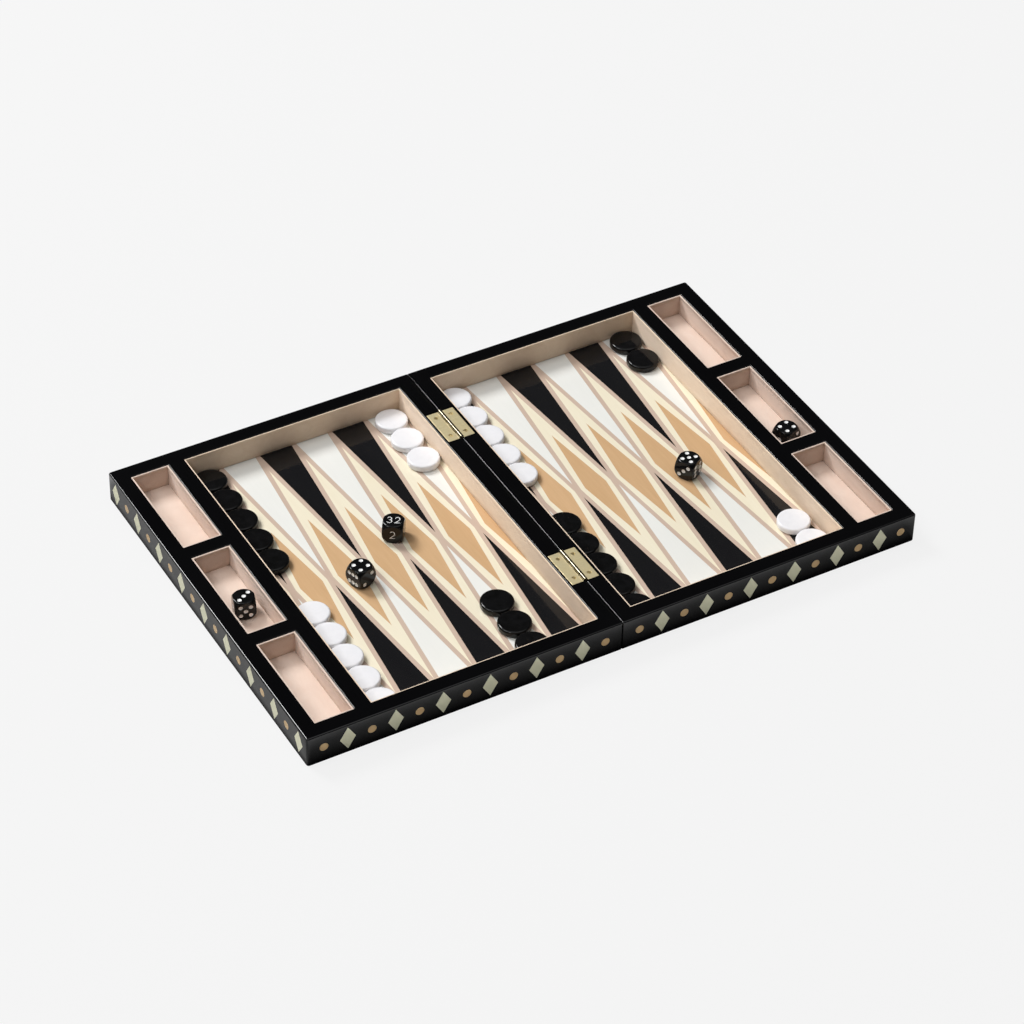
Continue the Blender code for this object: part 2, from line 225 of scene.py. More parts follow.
class Shape:
    """A mesh under construction. Points that fall together become one vertex."""

    def __init__(self):
        self.mesh = bmesh.new()
        self.found = {}

    def vertex(self, point):
        key = tuple(round(value * 1e7) for value in point)
        if key not in self.found:
            self.found[key] = self.mesh.verts.new(point)
        return self.found[key]

    def face(self, points, material=0, smooth=False):
        verts = []
        for point in points:
            vert = self.vertex(point)
            if vert not in verts:
                verts.append(vert)
        if len(verts) > 2 and self.mesh.faces.get(verts) is None:
            face = self.mesh.faces.new(verts)
            face.material_index = material
            face.smooth = smooth

    def strip(self, low, high, material=0, smooth=True, skip=()):
        """Quads between two closed rows of equally many points."""
        count = len(low)
        for i in range(count):
            if i not in skip:
                j = (i + 1) % count
                self.face((low[i], low[j], high[j], high[i]), material, smooth)

    def loft(self, rows, material=0, smooth=True, ring=False):
        """A body through closed rows of points, either capped or closed back on itself as a ring."""
        pairs = list(zip(rows, rows[1:]))
        if ring:
            pairs.append((rows[-1], rows[0]))
        for low, high in pairs:
            self.strip(low, high, material, smooth)
        if not ring:
            self.face(rows[0][::-1], material)
            self.face(rows[-1], material)

    def region(self, outline, shapes, place, ground):
        """A flat outline of the ground material, inlaid with shapes, each a list of points and a material.

        A later shape lies over an earlier one. place turns a point of the plane into a point in space.
        """
        points, faces = gather([outline] + [shape for shape, _ in shapes])
        wear = [ground] + [material for _, material in shapes]
        for corners, over in cut_up(points, faces):
            if 0 in over:
                self.face([place(corner) for corner in corners], wear[max(over)])

    def object(self, name, materials, sharp=None):
        bmesh.ops.remove_doubles(self.mesh, verts=self.mesh.verts, dist=2e-7)
        bmesh.ops.recalc_face_normals(self.mesh, faces=self.mesh.faces)
        mesh = bpy.data.meshes.new(name)
        self.mesh.to_mesh(mesh)
        self.mesh.free()
        if sharp is not None:
            mesh.shade_smooth()
            mesh.set_sharp_from_angle(angle=math.radians(sharp))
        for material in materials:
            mesh.materials.append(material)
        made = bpy.data.objects.new(name, mesh)
        bpy.context.scene.collection.objects.link(made)
        return made


def piece(made, body, slot, *nodes):
    """Hangs a finished piece on the body that it rides on, and hides the CAD nodes that it stands for. The
    slot is not used.
    """
    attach(made, body)
    if nodes:
        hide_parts(*nodes)
    return made


def rectangle(x0, x1, y0, y1):
    return [(x0, y0), (x1, y0), (x1, y1), (x0, y1)]


def at(points, z):
    return [(x, y, z) for x, y in points]


def rounded(x0, x1, y0, y1, radii, steps=5):
    """A rectangle with a radius for each corner, anticlockwise from (x1, y1)."""
    corners = ((x1, y1, -1, -1), (x0, y1, 1, -1), (x0, y0, 1, 1), (x1, y0, -1, 1))
    points = []
    for index, ((x, y, sx, sy), radius) in enumerate(zip(corners, radii)):
        for step in range(steps + 1):
            angle = math.pi / 2 * (index + step / steps)
            dx, dy = radius * math.cos(angle), radius * math.sin(angle)
            points.append((x + sx * radius + dx, y + sy * radius + dy))
    return points


def row(bounds, inset, corner, steps, z):
    """A rounded rectangle that lies in from these bounds, at this height."""
    x0, x1, y0, y1 = bounds
    return at(rounded(x0 + inset, x1 - inset, y0 + inset, y1 - inset, [corner] * 4, steps), z)


def diamond(x, y, wide, high):
    """A diamond by its middle, and half its width and height."""
    return [(x - wide, y), (x, y - high), (x + wide, y), (x, y + high)]


def centred(count):
    """Numbers one apart, spread evenly round 0."""
    return [i - (count - 1) / 2 for i in range(count)]


def circle(radius, count, x=0.0, y=0.0):
    turns = [2 * math.pi * i / count for i in range(count)]
    return [(x + radius * math.cos(turn), y + radius * math.sin(turn)) for turn in turns]


def quarter(steps):
    """Sine and cosine from 0 to a quarter turn."""
    angles = [math.pi / 2 * i / steps for i in range(steps + 1)]
    return [(math.sin(angle), math.cos(angle)) for angle in angles]


def lathe(profile, count):
    """Rows of points of a shape turned about Z, from (radius, height) pairs."""
    return [at(circle(radius, count), z) for radius, z in profile]


def moved(rows, matrix):
    return [[tuple(matrix @ Vector(point)) for point in row] for row in rows]


def along_y(x, y, z):
    """Lays a shape turned about Z along +Y, its foot at this point."""
    return Matrix.Translation((x, y, z)) @ Matrix.Rotation(-math.pi / 2, 4, "X")


def apply_modifiers(made):
    graph = bpy.context.evaluated_depsgraph_get()
    mesh = bpy.data.meshes.new_from_object(made.evaluated_get(graph), depsgraph=graph)
    made.modifiers.clear()
    made.data = mesh


def cut(made, tools):
    """Cuts the tools away from the piece, then removes them."""
    for tool in tools:
        boolean = made.modifiers.new(tool.name, "BOOLEAN")
        boolean.object = tool
        boolean.operation = "DIFFERENCE"
        boolean.solver = "EXACT"
    bpy.context.view_layer.update()
    apply_modifiers(made)
    for tool in tools:
        bpy.data.objects.remove(tool, do_unlink=True)


# ------------------------------------------------------------- materials


class Recipe:
    """A Principled material and the short node chains that drive it."""

    def __init__(self, name, **sockets):
        self.material = bpy.data.materials.new(name)
        self.material.use_nodes = True
        self.tree = self.material.node_tree
        self.shader = self.tree.nodes["Principled BSDF"]
        self.set(**sockets)

    def set(self, **sockets):
        for socket, value in sockets.items():
            self.shader.inputs[socket.replace("_", " ")].default_value = value

    def node(self, kind, inputs=(), **settings):
        made = self.tree.nodes.new(kind)
        for key, value in settings.items():
            setattr(made, key, value)
        for key, value in dict(inputs).items():
            if hasattr(value, "is_output"):
                self.tree.links.new(value, made.inputs[key])
            else:
                made.inputs[key].default_value = value
        return made

    def place(self, stretch=(1, 1, 1), vary=False):
        """The piece's own coordinates in metres, stretched, and shifted from piece to piece if vary."""
        spot = self.node("ShaderNodeTexCoord").outputs["Object"]
        if vary:
            random = self.node("ShaderNodeObjectInfo").outputs["Random"]
            spot = self.node("ShaderNodeVectorMath", {0: spot, 1: random}, operation="ADD").outputs[0]
        return self.node("ShaderNodeMapping", {"Vector": spot, "Scale": stretch}).outputs[0]

    def noise(self, spot, scale, detail=2.0, roughness=0.5, distortion=0.0):
        inputs = {"Vector": spot, "Scale": scale, "Detail": detail}
        inputs |= {"Roughness": roughness, "Distortion": distortion}
        return self.node("ShaderNodeTexNoise", inputs).outputs["Fac"]

    def fit(self, value, low, high, start=0.3, end=0.7):
        """The value's stretch from start to end, brought to run from low to high."""
        inputs = {"Value": value, "From Min": start, "From Max": end, "To Min": low, "To Max": high}
        return self.node("ShaderNodeMapRange", inputs).outputs[0]

    def math(self, operation, first, second=0.5):
        return self.node("ShaderNodeMath", {0: first, 1: second}, operation=operation).outputs[0]

    def weigh(self, first, first_share, second, second_share):
        """Two values added up, each with its share."""
        first = self.math("MULTIPLY", first, first_share)
        return self.math("ADD", first, self.math("MULTIPLY", second, second_share))

    def blend(self, amount, first, second):
        made = self.node("ShaderNodeMix", data_type="RGBA")
        wanted = {"Factor": ("VALUE", amount), "A": ("RGBA", first), "B": ("RGBA", second)}
        for name, (kind, value) in wanted.items():
            socket = [s for s in made.inputs if s.name == name and s.type == kind][0]
            if hasattr(value, "is_output"):
                self.tree.links.new(value, socket)
            else:
                socket.default_value = (*value, 1.0) if isinstance(value, tuple) else value
        return [s for s in made.outputs if s.type == "RGBA"][0]

    def drive(self, **links):
        for socket, value in links.items():
            self.tree.links.new(value, self.shader.inputs[socket.replace("_", " ")])
        return self

    def bump(self, height, distance, strength=1.0):
        made = self.node("ShaderNodeBump", {"Height": height, "Distance": distance, "Strength": strength})
        return self.drive(Normal=made.outputs[0])


def lacquer():
    """Black piano lacquer: a deep, slightly uneven gloss."""
    recipe = Recipe("black_lacquer", IOR=1.5)
    spot = recipe.place()
    shade = recipe.fit(recipe.noise(spot, 9.0, 3.0), 0.0, 1.0)
    recipe.drive(Base_Color=recipe.blend(shade, (0.0016, 0.0016, 0.0020), (0.0026, 0.0026, 0.0030)))
    recipe.drive(Roughness=recipe.fit(recipe.noise(spot, 45.0, 4.0), 0.025, 0.060))
    return recipe.bump(recipe.noise(spot, 60.0, 2.0), 0.000004).material


def veneer(name, dark, light, gloss=0.07, grain=(420.0, 26.0, 420.0), strength=0.6, level=0.42):
    """Dyed veneer under clear gloss: fine grain along Y, and slow changes of tone from leaf to leaf."""
    recipe = Recipe(name, IOR=1.5, Specular_IOR_Level=level)
    fine = recipe.noise(recipe.place(grain), 1.0, 5.0, 0.65, 0.4)
    slow = recipe.noise(recipe.place((30.0, 9.0, 30.0)), 1.0, 2.0)
    mixed = recipe.weigh(fine, 0.6 * strength, slow, 0.4)
    recipe.drive(Base_Color=recipe.blend(recipe.fit(mixed, 0.0, 1.0, 0.25, 0.70), dark, light))
    recipe.drive(Roughness=recipe.fit(fine, gloss, gloss + 0.05))
    return recipe.bump(recipe.noise(recipe.place(), 180.0, 2.0), 0.00001).material


def suede(name, dark, light):
    """Suede: short fibres, brushed unevenly."""
    recipe = Recipe(name, IOR=1.4, Sheen_Weight=0.25, Sheen_Roughness=0.45, Specular_IOR_Level=0.15)
    recipe.set(Sheen_Tint=(1.0, 0.90, 0.84, 1.0))
    spot = recipe.place()
    fibre = recipe.noise(spot, 2600.0, 4.0, 0.7)
    brushed = recipe.noise(recipe.place((1.0, 0.45, 1.0)), 70.0, 4.0, 0.6, 1.2)
    mixed = recipe.weigh(fibre, 0.35, brushed, 0.65)
    recipe.drive(Base_Color=recipe.blend(recipe.fit(mixed, 0.0, 1.0), dark, light))
    recipe.drive(Roughness=recipe.fit(fibre, 0.82, 0.97))
    return recipe.bump(fibre, 0.00012, 0.7).material


def resin(name, dark, light, gloss, level=0.5):
    """Polished resin with faint clouding and fine scuffs."""
    recipe = Recipe(name, IOR=1.5, Specular_IOR_Level=level)
    spot = recipe.place(vary=True)
    cloud = recipe.fit(recipe.noise(spot, 130.0, 3.0, 0.5, 0.8), 0.0, 1.0)
    recipe.drive(Base_Color=recipe.blend(cloud, dark, light))
    scuffs = recipe.noise(recipe.place((1.0, 6.0, 1.0), vary=True), 300.0, 6.0, 0.7)
    recipe.drive(Roughness=recipe.fit(scuffs, gloss, gloss + 0.09))
    return recipe.bump(recipe.noise(spot, 420.0, 2.0), 0.000008).material


def metal(name, dark, light, gloss, brush=(60.0, 1500.0, 60.0)):
    """Metal with a brushed grain and a little tarnish."""
    recipe = Recipe(name, Metallic=1.0)
    streaks = recipe.noise(recipe.place(brush), 1.0, 3.0, 0.6)
    tarnish = recipe.noise(recipe.place(), 190.0, 4.0, 0.6, 0.6)
    mixed = recipe.weigh(streaks, 0.45, tarnish, 0.55)
    recipe.drive(Base_Color=recipe.blend(recipe.fit(mixed, 0.0, 1.0), dark, light))
    recipe.drive(Roughness=recipe.fit(mixed, gloss + 0.10, gloss))
    return recipe.bump(streaks, 0.00001, 0.6).material


def paint(name, dark, light):
    """Opaque paint that fills a recess, slightly uneven."""
    recipe = Recipe(name, IOR=1.45)
    spot = recipe.place(vary=True)
    recipe.drive(Base_Color=recipe.blend(recipe.fit(recipe.noise(spot, 900.0, 3.0), 0.0, 1.0), dark, light))
    recipe.drive(Roughness=recipe.fit(recipe.noise(spot, 2200.0, 3.0), 0.32, 0.5))
    return recipe.bump(recipe.noise(spot, 1400.0, 2.0), 0.00003, 0.5).material


def board_paint():
    """Satin black paint on the bottom board, over the faint texture of the board."""
    recipe = Recipe("black_board", IOR=1.45)
    spot = recipe.place()
    grain = recipe.noise(spot, 700.0, 5.0, 0.7)
    shade = recipe.fit(grain, 0.0, 1.0)
    recipe.drive(Base_Color=recipe.blend(shade, (0.006, 0.006, 0.007), (0.016, 0.016, 0.017)))
    recipe.drive(Roughness=recipe.fit(recipe.noise(spot, 60.0, 4.0), 0.42, 0.62))
    return recipe.bump(grain, 0.00006, 0.5).material


def make_materials():
    return {
        "lacquer": lacquer(),
        "shell": veneer("side_diamond", (0.78, 0.77, 0.54), (0.93, 0.92, 0.69), 0.06, (300.0, 300.0, 40.0)),
        "wood_dot": veneer("side_dot", (0.64, 0.43, 0.21), (0.79, 0.56, 0.30), 0.06, (300.0, 300.0, 40.0)),
        "taupe": veneer("taupe_veneer", (0.58, 0.445, 0.355), (0.66, 0.52, 0.425)),
        "cream": veneer("cream_veneer", (0.84, 0.76, 0.58), (0.92, 0.86, 0.70)),
        "tan": veneer("tan_veneer", (0.60, 0.38, 0.20), (0.71, 0.47, 0.27)),
        "ivory": veneer("ivory_veneer", (0.82, 0.82, 0.78), (0.90, 0.90, 0.87), strength=0.4),
        "black": veneer("black_veneer", (0.0085, 0.0085, 0.0095), (0.0130, 0.0130, 0.0140), 0.07, level=0.36),
        "suede": suede("blush_suede", (0.700, 0.545, 0.455), (0.765, 0.635, 0.548)),
        "field_suede": suede("pale_suede", (0.840, 0.665, 0.500), (0.940, 0.775, 0.610)),
        "white": resin("white_resin", (0.825, 0.825, 0.850), (0.860, 0.860, 0.885), 0.14),
        "jet": resin("black_resin", (0.0035, 0.0035, 0.0035), (0.007, 0.007, 0.0075), 0.05, 0.28),
        "brass": metal("brushed_brass", (0.78, 0.66, 0.37), (0.95, 0.84, 0.55), 0.44),
        "barrel": metal("polished_brass", (0.120, 0.105, 0.075), (0.180, 0.160, 0.115), 0.07),
        # Painted shade: the pin's brass is darker than the leaves', for its front end, which faces away from
        # the key light
        "pin": metal("pin_brass", (0.20, 0.15, 0.07), (0.36, 0.27, 0.13), 0.30, (60.0, 60.0, 900.0)),
        "screw": metal("screw_brass", (0.60, 0.48, 0.25), (0.80, 0.68, 0.40), 0.34, (500.0, 500.0, 500.0)),
        "pip": paint("white_paint", (0.80, 0.80, 0.79), (0.90, 0.90, 0.89)),
        "board": board_paint(),
    }


# ------------------------------------------------------------------ case


def opening(node):
    """The opening that a lining lies in, as x0, x1, y0, y1."""
    low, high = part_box(node)
    return low.x - GAP, high.x + GAP, low.y - GAP, high.y + GAP


def openings(half):
    return [opening(f"{half}_field_lining")] + [opening(f"{half}_{place}_well_lining") for place in WELLS]


def inlay_shapes(diamonds, dots):
    """The side pattern: diamonds and dots in a row, in the plane of a side."""
    shell, wood = CASE_MATERIALS.index("shell"), CASE_MATERIALS.index("wood_dot")
    shapes = [(diamond(u, INLAY_HEIGHT, DIAMOND_WIDTH / 2, DIAMOND_HEIGHT / 2), shell) for u in diamonds]
    return shapes + [(circle(DOT_DIAMETER / 2, 32, u, INLAY_HEIGHT), wood) for u in dots]


def eased(radius, steps):
    """Heights above an edge's foot, at which its rounding is drawn."""
    return [radius * (1 - cosine) for _, cosine in quarter(steps)]


def inset_at(height, radius):
    """How far a rounded edge lies in, at this height above its foot or below its top."""
    short = max(radius - height, 0.0)
    return radius - math.sqrt(max(radius**2 - short**2, 0.0))


def case_rows(side, low, high):
    """The case's outline at each height, the seam's side eased less, and the row under its flat sides."""
    foot = sorted({round(h, 7) for h in eased(BOTTOM_ROUND, 7) + eased(SEAM_ROUND, 3)})
    head = sorted({round(h, 7) for h in eased(TOP_ROUND, 10) + eased(SEAM_ROUND, 10)}, reverse=True)
    levels = [(h, inset_at(h, BOTTOM_ROUND), inset_at(h, SEAM_ROUND)) for h in foot]
    levels += [(high.z - h, inset_at(h, TOP_ROUND), inset_at(h, SEAM_ROUND)) for h in head]
    rows = []
    for z, inset, seam in levels:
        left, right = (inset, seam) if side < 0 else (seam, inset)
        outer = max(CORNER_ROUND - inset, LEAST_CORNER)
        near = max(SEAM_CORNER_ROUND - max(inset, seam), LEAST_SEAM_CORNER)
        radii = (near, outer, outer, near) if side < 0 else (outer, near, near, outer)
        x0, x1, y0, y1 = low.x + left, high.x - right, low.y + inset, high.y - inset
        rows.append(at(rounded(x0, x1, y0, y1, radii), z))
    return rows, len(foot) - 1


def make_block(half, side, materials):
    """The case before it is hollowed, with the inlays flush in three of its sides."""
    low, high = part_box(f"{half}_rim")
    rows, flat = case_rows(side, low, high)
    shape = Shape()
    per_corner = len(rows[0]) // 4
    sides = [per_corner * (i + 1) - 1 for i in range(4)]
    for i, (lower, upper) in enumerate(zip(rows, rows[1:])):
        shape.strip(lower, upper, skip=sides if i == flat else ())
    shape.face(rows[0][::-1])
    shape.face(rows[-1])
    lower, upper = rows[flat], rows[flat + 1]
    diamonds_x = [side * (SIDE_FIRST_DIAMOND + INLAY_PITCH * k) for k in range(LONG_SIDE_DIAMONDS)]
    dots_x = [side * (SIDE_FIRST_DOT + INLAY_PITCH * k) for k in range(LONG_SIDE_DIAMONDS + 1)]
    diamonds_y = [INLAY_PITCH * k for k in centred(END_DIAMONDS)]
    dots_y = [INLAY_PITCH * k for k in centred(END_DIAMONDS - 1)]
    for index in sides:
        a, b = Vector(lower[index]), Vector(lower[(index + 1) % len(lower)])
        z0, z1 = a.z, upper[index][2]
        if abs(a.y - b.y) < 1e-6:
            u0, u1 = sorted((a.x, b.x))
            shapes = inlay_shapes(diamonds_x, dots_x)
            place = lambda p, y=a.y: (p.x, y, p.y)
        elif a.x * side > (low.x + high.x) / 2 * side:
            u0, u1 = sorted((a.y, b.y))
            shapes = inlay_shapes(diamonds_y, dots_y)
            place = lambda p, x=a.x: (x, p.x, p.y)
        else:
            shape.face((a, b, upper[(index + 1) % len(upper)], upper[index]))
            continue
        shape.region(rectangle(u0, u1, z0, z1), shapes, place, 0)
    return shape.object(f"{half}_case", [materials[name] for name in CASE_MATERIALS])


def make_opening_tool(index, bounds, top):
    """A cutter for one opening: straight walls that ease outwards at the top."""
    profile = [(0.0, -OVERRUN), (0.0, top - OPENING_FALL)]
    profile += [(OPENING_EASE * (1 - c), top - OPENING_FALL * (1 - s)) for s, c in quarter(9)[1:]]
    profile.append((OPENING_EASE, top + OVERRUN))
    shape = Shape()
    rows = [row(bounds, -out, OPENING_CORNER + out, 4, z) for out, z in profile]
    for i, (lower, upper) in enumerate(zip(rows, rows[1:])):
        shape.strip(lower, upper, smooth=0 < i < len(rows) - 2)
    shape.face(rows[0][::-1])
    shape.face(rows[-1])
    return shape.object(f"opening_{index}", [])


def make_block_tool(name, x0, x1, y0, y1, z0, z1, radius=0.0):
    shape = Shape()
    outline = rounded(x0, x1, y0, y1, [radius] * 4, 4) if radius else rectangle(x0, x1, y0, y1)
    shape.loft([at(outline, z0), at(outline, z1)], smooth=False)
    return shape.object(name, [])


def hinge_middle(place):
    """From a hinge's pin: Y of its middle, half its length, and the height of its axis."""
    low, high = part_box(f"{place}_hinge_pin")
    return (low.y + high.y) / 2, (high.y - low.y) / 2, (low.z + high.z) / 2


def leaf_span(place, half):
    low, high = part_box(f"{half}_{place}_hinge_leaf")
    return low.y, high.y


def make_case(half, side, materials):
    """One half of the lacquered case, in one piece with its dividers."""
    low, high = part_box(f"{half}_rim")
    block = make_block(half, side, materials)
    found = openings(half)
    tools = [make_opening_tool(i, bounds, high.z) for i, bounds in enumerate(found)]
    recess = [f(values) for f, values in zip((min, max, min, max), zip(*found))]
    grown = [value + sign * RECESS_MARGIN for value, sign in zip(recess, (-1, 1, -1, 1))]
    tools.append(make_block_tool("recess", *grown, -OVERRUN, RECESS_TOP))
    for place in HINGES:
        y0, y1 = leaf_span(place, half)
        y0, y1 = y0 - MORTISE_MARGIN, y1 + MORTISE_MARGIN
        x0, x1 = (-MORTISE_REACH, OVERRUN) if side < 0 else (-OVERRUN, MORTISE_REACH)
        floor, past = high.z - MORTISE_DEPTH, high.z + OVERRUN
        tools.append(make_block_tool(f"{place}_mortise", x0, x1, y0, y1, floor, past, MORTISE_CORNER))
        axis = hinge_middle(place)[2]
        groove = Shape()
        groove.loft(moved(lathe([(GROOVE_RADIUS, 0), (GROOVE_RADIUS, y1 - y0)], 32), along_y(0, y0, axis)))
        tools.append(groove.object(f"{place}_groove", []))
    cut(block, tools)
    block.data.set_sharp_from_angle(angle=math.radians(CASE_SHARP_ANGLE))
    return piece(block, f"{half}_half", "black_lacquer", f"{half}_rim", f"{half}_divider_frame")


# --------------------------------------------------------- playing field


def point_colours():
    """(column, end, material index) of each point. The front row is the back row's opposite."""
    found = []
    for column, colour in enumerate(BACK_ROW):
        other = "ivory" if colour == "black" else "black"
        found.append((column, 1, FIELD_INLAYS.index(colour)))
        found.append((column, -1, FIELD_INLAYS.index(other)))
    return found


def field_shapes(middle, reach):
    """The inlaid pattern, from the lowest layer up: cream diamonds, tan diamonds, points."""
    shapes = []
    cream_half = POINT_PITCH / 2 - BAND_NECK
    for step in centred(len(BACK_ROW) + 1):
        x = middle + step * POINT_PITCH
        shapes.append((diamond(x, 0, cream_half, cream_half / BAND_SLOPE), FIELD_INLAYS.index("cream")))
        shapes.append((diamond(x, 0, TAN_HALF_WIDTH, TAN_HALF_LENGTH), FIELD_INLAYS.index("tan")))
    steps = centred(len(BACK_ROW))
    wide = POINT_SLOPE * (reach - POINT_TIP)
    for column, end, material in point_colours():
        x = middle + steps[column] * POINT_PITCH
        shapes.append(([(x, end * POINT_TIP), (x + wide, end * reach), (x - wide, end * reach)], material))
    return shapes


def make_field(half, side, materials):
    """The inlaid playing field, each inlay flush with the next."""
    low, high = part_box(f"{half}_field_panel")
    x0, x1, _, y1 = opening(f"{half}_field_lining")
    middle = (x0 + x1) / 2
    shape = Shape()
    outline = rectangle(low.x, high.x, low.y, high.y)
    top = Shape()
    top.region(outline, field_shapes(middle, y1 + POINT_OVERRUN), lambda p: (p.x, p.y, high.z), 0)
    edges = [edge for edge in top.mesh.edges if edge.is_boundary]
    for edge in edges:
        a, b = (vert.co.copy() for vert in edge.verts)
        shape.face((a, b, (b.x, b.y, low.z), (a.x, a.y, low.z)))
    rim = {tuple(vert.co) for edge in edges for vert in edge.verts}
    rim = sorted(rim, key=lambda point: math.atan2(point[1], point[0] - middle))
    shape.face([(x, y, low.z) for x, y, _ in rim])
    for face in top.mesh.faces:
        shape.face([tuple(vert.co) for vert in face.verts], face.material_index)
    top.mesh.free()
    made = shape.object(f"{half}_playing_field", [materials[name] for name in FIELD_INLAYS])
    return piece(made, f"{half}_half", "inlaid_veneer", f"{half}_field_panel")


# -------------------------------------------------------------- linings


def creased(x0, x1, y0, y1, crease):
    """A rectangle whose corners run out into a small crease, where two strips of lining meet."""
    points = []
    for x, y, sx, sy in ((x0, y0, -1, -1), (x1, y0, 1, -1), (x1, y1, 1, 1), (x0, y1, -1, 1)):
        before, after = (x, y - sy * CREASE * 1.2), (x - sx * CREASE * 1.2, y)
        corner = (x + sx * crease, y + sy * crease)
        points += [before, corner, after] if sx * sy > 0 else [after, corner, before]
    return points


def lining_section(top, foot, lip_width):
    """(inset, height, crease) round a lining strip: over its lip, down its face, and up its back."""
    wide, high = LIP_ROUND
    lip_foot = top - LIP_HEIGHT
    lip = [(lip_width - wide + wide * s, top - high * (1 - c), 0.0) for s, c in quarter(4)]
    under = [(lip_width - LIP_UNDERCUT, top - LIP_HEIGHT * 0.75, 0.0), (SUEDE_WALL, lip_foot, CREASE / 2)]
    face = []
    for share in (0.2, 0.4, 0.6, 0.8):
        bulge = SUEDE_BULGE * math.sin(math.pi * share)
        face.append((SUEDE_WALL + bulge, lip_foot - share * (lip_foot - foot - SUEDE_FOOT), CREASE / 2))
    bottom = [(SUEDE_WALL, foot + SUEDE_FOOT, CREASE / 2), (SUEDE_WALL - 0.0003, foot, CREASE / 2)]
    back = [(SUEDE_TO_WALL, foot), (SUEDE_TO_WALL, top - 0.0005), (SUEDE_TO_WALL + 0.0004, top)]
    return lip + under + face + bottom + [(inset, z, 0.0) for inset, z in back]


def add_strips(shape, bounds, top, foot, kind):
    x0, x1, y0, y1 = bounds
    rows = []
    for inset, z, crease in lining_section(top, foot, SUEDE_LIP[kind]):
        rows.append(at(creased(x0 + inset, x1 - inset, y0 + inset, y1 - inset, crease), z))
    shape.loft(rows, ring=True)


def add_pad(shape, bounds, top, foot):
    """The floor of a well: suede over a thin board, soft at its edges."""
    bounds = [v + s * (SUEDE_WALL - PAD_TUCK) for v, s in zip(bounds, (1, -1, 1, -1))]
    section = [(0.0, foot)]
    section += [(0.0003 * (1 - c), top - 0.00015 - 0.00025 * (1 - s)) for s, c in quarter(4)]
    section += [(0.0020, top - 0.00010), (0.0060, top)]
    shape.loft([row(bounds, inset, PAD_CORNER, 3, z) for inset, z in section])


def make_linings(half, side, materials):
    low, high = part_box(f"{half}_field_lining")
    shape = Shape()
    add_strips(shape, opening(f"{half}_field_lining"), high.z, low.z, "field")
    made = shape.object(f"{half}_field_suede", [materials["field_suede"]], sharp=50)
    piece(made, f"{half}_half", "blush_lining", f"{half}_field_lining")
    for place in WELLS:
        node = f"{half}_{place}_well_lining"
        low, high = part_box(node)
        shape = Shape()
        floor = low.z + WELL_FLOOR
        add_strips(shape, opening(node), high.z, floor - STRIP_TUCK, "well")
        add_pad(shape, opening(node), floor, low.z)
        made = shape.object(f"{half}_{place}_well_suede", [materials["suede"]], sharp=50)
        piece(made, f"{half}_half", "blush_lining", node)


# --------------------------------------------------------------- hinges


def screw_spots(side, place, half):
    y0, y1 = leaf_span(place, half)
    return [(side * SCREW_X, y0 + SCREW_FROM_END), (side * SCREW_X, y1 - SCREW_FROM_END)]


def leaf_top(half):
    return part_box(f"{half}_rim")[1].z - LEAF_TOP_DROP


def make_screw_hole(index, x, y, bottom, top):
    """A cutter for a pilot hole and its countersink."""
    head = SCREW_HEAD + SCREW_GAP
    profile = [(PILOT_RADIUS, bottom - 0.001), (PILOT_RADIUS, bottom + 0.0001)]
    profile += [(head, top - SCREW_DROP), (head, top + 0.001)]
    hole = Shape()
    hole.loft(moved(lathe(profile, 40), Matrix.Translation((x, y, 0))))
    return hole.object(f"screw_hole_{index}", [])


def make_knuckles(side, y0, y1, top, bottom, axis, materials):
    """A leaf's share of the barrel: every other knuckle, each with the web that carries it."""
    barrel = Shape()
    pitch = (y1 - y0 + GAP) / KNUCKLES
    length = pitch - GAP
    profile = [(BARREL_BORE, 0.0), (BARREL_RADIUS - BARREL_EASE, 0.0), (BARREL_RADIUS, BARREL_EASE)]
    profile += [(r, length - z) for r, z in reversed(profile)]
    section = web_section(top, bottom, axis)
    for index in range(0 if side < 0 else 1, KNUCKLES, 2):
        low = y0 + index * pitch
        barrel.loft(moved(lathe(profile, 48), along_y(0, low, axis)), 1, ring=True)
        ends = (WEB_INSET, length - WEB_INSET)
        barrel.loft([[(side * x, low + dy, z) for x, z in section] for dy in ends], 1)
    return barrel.object("knuckles", [materials["brass"], materials["barrel"]], sharp=40)


def make_leaf(half, side, place, materials):
    """A hinge leaf: a plate with eased edges and countersunk holes, and its share of the barrel."""
    y0, y1 = leaf_span(place, half)
    top = leaf_top(half)
    bottom = top - LEAF_THICKNESS
    axis = hinge_middle(place)[2]
    near = BARREL_RADIUS + LEAF_TO_BARREL
    x0, x1 = (near, LEAF_REACH) if side > 0 else (-LEAF_REACH, -near)
    bounds = (x0, x1, y0, y1)
    shape = Shape()
    rows = [row(bounds, LEAF_EASE, 0.0003, 4, bottom)]
    rows += [row(bounds, LEAF_EASE * (1 - c), 0.0005, 4, top - LEAF_EASE * (1 - s)) for s, c in quarter(4)]
    shape.loft(rows)
    plate = shape.object(f"{half}_{place}_leaf", [materials["brass"], materials["barrel"]])
    spots = screw_spots(side, place, half)
    cut(plate, [make_screw_hole(i, x, y, bottom, top) for i, (x, y) in enumerate(spots)])
    join(plate, make_knuckles(side, y0, y1, top, bottom, axis, materials))
    return piece(plate, f"{half}_half", "brass", f"{half}_{place}_hinge_leaf")


def web_section(top, bottom, axis):
    """The curl that carries a knuckle: from the plate's edge up against the barrel, as (x, z)."""
    plate = BARREL_RADIUS + 0.0006
    return [
        (plate, bottom + 0.0001),
        (plate, top - 0.00005),
        (BARREL_RADIUS - 0.0001, top - 0.00005),
        (BARREL_RADIUS * 0.75, axis + 0.0009),
        (BARREL_RADIUS * 0.62, axis - 0.0003),
        (BARREL_RADIUS * 0.62, bottom + 0.0001),
    ]


